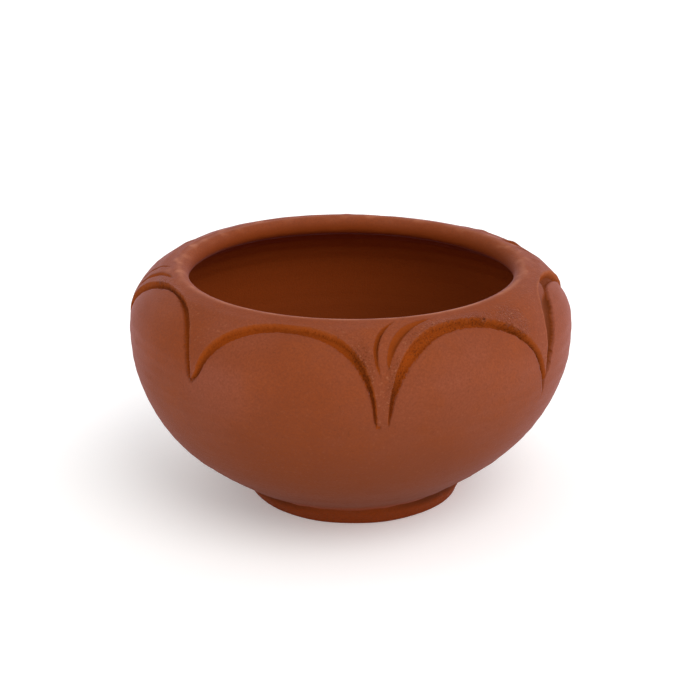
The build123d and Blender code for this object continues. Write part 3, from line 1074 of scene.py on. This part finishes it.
def build_strand(phase, bottom, top):
    """One strand of the twisted stem, thinner and looser towards its tip."""
    sides, steps = STRAND_SIDES, STRAND_STEPS
    vertices, faces = [], []
    for step in range(steps + 1):
        t = step / steps
        z = bottom + (top - bottom) * t
        narrowing = 1 - STRAND_NARROWING * t
        thin = narrowing * (1 - smooth(0.93, 1.0, t) * 0.75)
        away = STEM_RADIUS * 0.46 * narrowing
        turn = phase + 2 * math.pi * STRAND_TURNS * t**0.9
        bend = 0.9 * math.sin(2.1 * t) ** 2
        cx = away * math.sin(turn) + bend
        cy = -away * math.cos(turn) + 0.4 * bend
        strand = STEM_RADIUS * 0.60 * thin
        for k in range(sides):
            a = 2 * math.pi * k / sides
            r = strand * (1 + 0.10 * math.sin(3 * a + 9 * t * math.pi + phase))
            vertices.append((cx + r * math.sin(a), cy - r * math.cos(a), z))
    for step in range(steps):
        faces += bridge(step * sides, sides, (step + 1) * sides, sides)
    for ring, flip in ((0, True), (steps * sides, False)):
        centre = tuple(np.mean(vertices[ring:ring + sides], axis=0))
        vertices.append(centre)
        fan = [(ring + k, ring + (k + 1) % sides, len(vertices) - 1) for k in range(sides)]
        faces += [f[::-1] for f in fan] if flip else fan
    return vertices, faces


def build_fibres(radius):
    """Loose fibres that stand out from the pad and the stem."""
    rng = np.random.default_rng(41)
    vertices, faces = [], []
    for _ in range(FIBRES):
        on_pad = rng.random() < 0.6
        a = rng.uniform(0, 2 * math.pi)
        if on_pad:
            start = np.array((radius * rng.uniform(0.6, 1.0), rng.uniform(0.5, 1.6)))
        else:
            start = np.array((1.2, rng.uniform(FLARE_TOP, FLARE_TOP * 3)))
        length = rng.uniform(1.0, 2.6)
        lift = rng.uniform(-0.1, 0.9)
        curl = rng.uniform(-1.5, 1.5)
        previous = None
        for step in range(FIBRE_STEPS + 1):
            t = step / FIBRE_STEPS
            out = start[0] + length * t * (0.7 if on_pad else 0.45)
            z = start[1] + length * t * lift * (1 - 0.4 * t)
            angle = a + curl * t * length / max(out, 2.0) * 0.5
            centre = np.array((out * math.sin(angle), -out * math.cos(angle), max(z, 0.05)))
            thick = FIBRE_RADIUS * (1 - 0.6 * t)
            ring = len(vertices)
            for k in range(3):
                b = 2 * math.pi * k / 3
                side = np.array((math.cos(angle), math.sin(angle), 0)) * math.cos(b)
                vertices.append(tuple(centre + thick * (side + np.array((0, 0, math.sin(b))))))
            if previous is None:
                faces.append((ring, ring + 1, ring + 2))
            else:
                faces += bridge(previous, 3, ring, 3)
            previous = ring
        faces.append((previous + 2, previous + 1, previous))
    return vertices, faces


def build_wick():
    """Cotton wick: pad, twisted stem and loose fibres in one piece."""
    base = WICK_LOW[2] / MM
    height = (WICK_HIGH[2] - WICK_LOW[2]) / MM
    radius = (WICK_HIGH[0] - WICK_LOW[0]) / 2 / MM * PAD_INSET
    parts = [build_pad(radius)]
    for k in range(STRANDS):
        phase = 2 * math.pi * k / STRANDS
        parts.append(build_strand(phase, FLARE_TOP - 2.0, height - 0.2))
    parts.append(build_fibres(radius))
    vertices, faces = [], []
    for points, loops in parts:
        shift = len(vertices)
        vertices += [(x * MM, y * MM, (z + base) * MM) for x, y, z in points]
        faces += [tuple(i + shift for i in loop) for loop in loops]
    return mesh_piece("cotton_wick", vertices, faces)


# --------------------------------------------------------------------- studio


CAMERA_ELEVATION = 21.3
CAMERA_DISTANCE = 0.365
CAMERA_LENS = 81.5
SENSOR = 36.0
AIM_ABOVE_CENTRE = 0.00514
AIM_LEFT_OF_CENTRE = 0.00009
FLOOR_HALF_WIDTH = 4.0
SKY_STRENGTH = 0.75


def add_camera():
    """Camera in front of the bowl, looking down at it, without shift."""
    centre = Vector((0, 0, (BOWL_LOW[2] + BOWL_HIGH[2]) / 2))
    e = math.radians(CAMERA_ELEVATION)
    back = Vector((0, -math.cos(e), math.sin(e)))
    up = Vector((0, math.sin(e), math.cos(e)))
    data = bpy.data.cameras.new("camera")
    data.sensor_width = SENSOR
    data.lens = CAMERA_LENS
    data.clip_start = 0.01
    data.clip_end = 50.0
    camera = bpy.data.objects.new("camera", data)
    bpy.context.scene.collection.objects.link(camera)
    camera.location = centre + back * CAMERA_DISTANCE
    aim = centre + up * AIM_ABOVE_CENTRE + Vector((-AIM_LEFT_OF_CENTRE, 0, 0))
    camera.rotation_euler = (camera.location - aim).to_track_quat("Z", "Y").to_euler()
    bpy.context.scene.camera = camera


def add_sun(name, direction, strength, angle, colour):
    """Soft far light that shines from a direction."""
    data = bpy.data.lights.new(name, "SUN")
    data.energy = strength
    data.angle = math.radians(angle)
    data.color = colour
    sun = bpy.data.objects.new(name, data)
    bpy.context.scene.collection.objects.link(sun)
    sun.rotation_euler = Vector(direction).to_track_quat("Z", "Y").to_euler()


def add_studio():
    """White floor, pale surroundings and two soft lights."""
    half = FLOOR_HALF_WIDTH
    corners = [(-half, -half, 0), (half, -half, 0), (half, half, 0), (-half, half, 0)]
    floor = mesh_piece("studio_floor", corners, [(0, 1, 2, 3)])
    floor.data.materials.append(plain_floor())
    world = bpy.data.worlds.new("studio")
    world.use_nodes = True
    background = world.node_tree.nodes["Background"]
    background.inputs["Color"].default_value = (1.0, 1.0, 1.0, 1.0)
    background.inputs["Strength"].default_value = SKY_STRENGTH
    bpy.context.scene.world = world
    add_sun("key", (0.55, -0.75, 1.1), strength=1.1, angle=45, colour=(1.0, 0.98, 0.95))
    add_sun("rim", (1.0, 0.45, 0.35), strength=0.65, angle=40, colour=(1.0, 0.90, 1.0))
    bpy.context.scene.view_settings.view_transform = "Standard"


add_camera()
add_studio()

bowl = build_bowl()
bowl.data.materials.append(terracotta())
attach(bowl, "bowl")
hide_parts("bowl")

wick = build_wick()
wick.data.materials.append(cotton())
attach(wick, "wick")
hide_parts("wick")
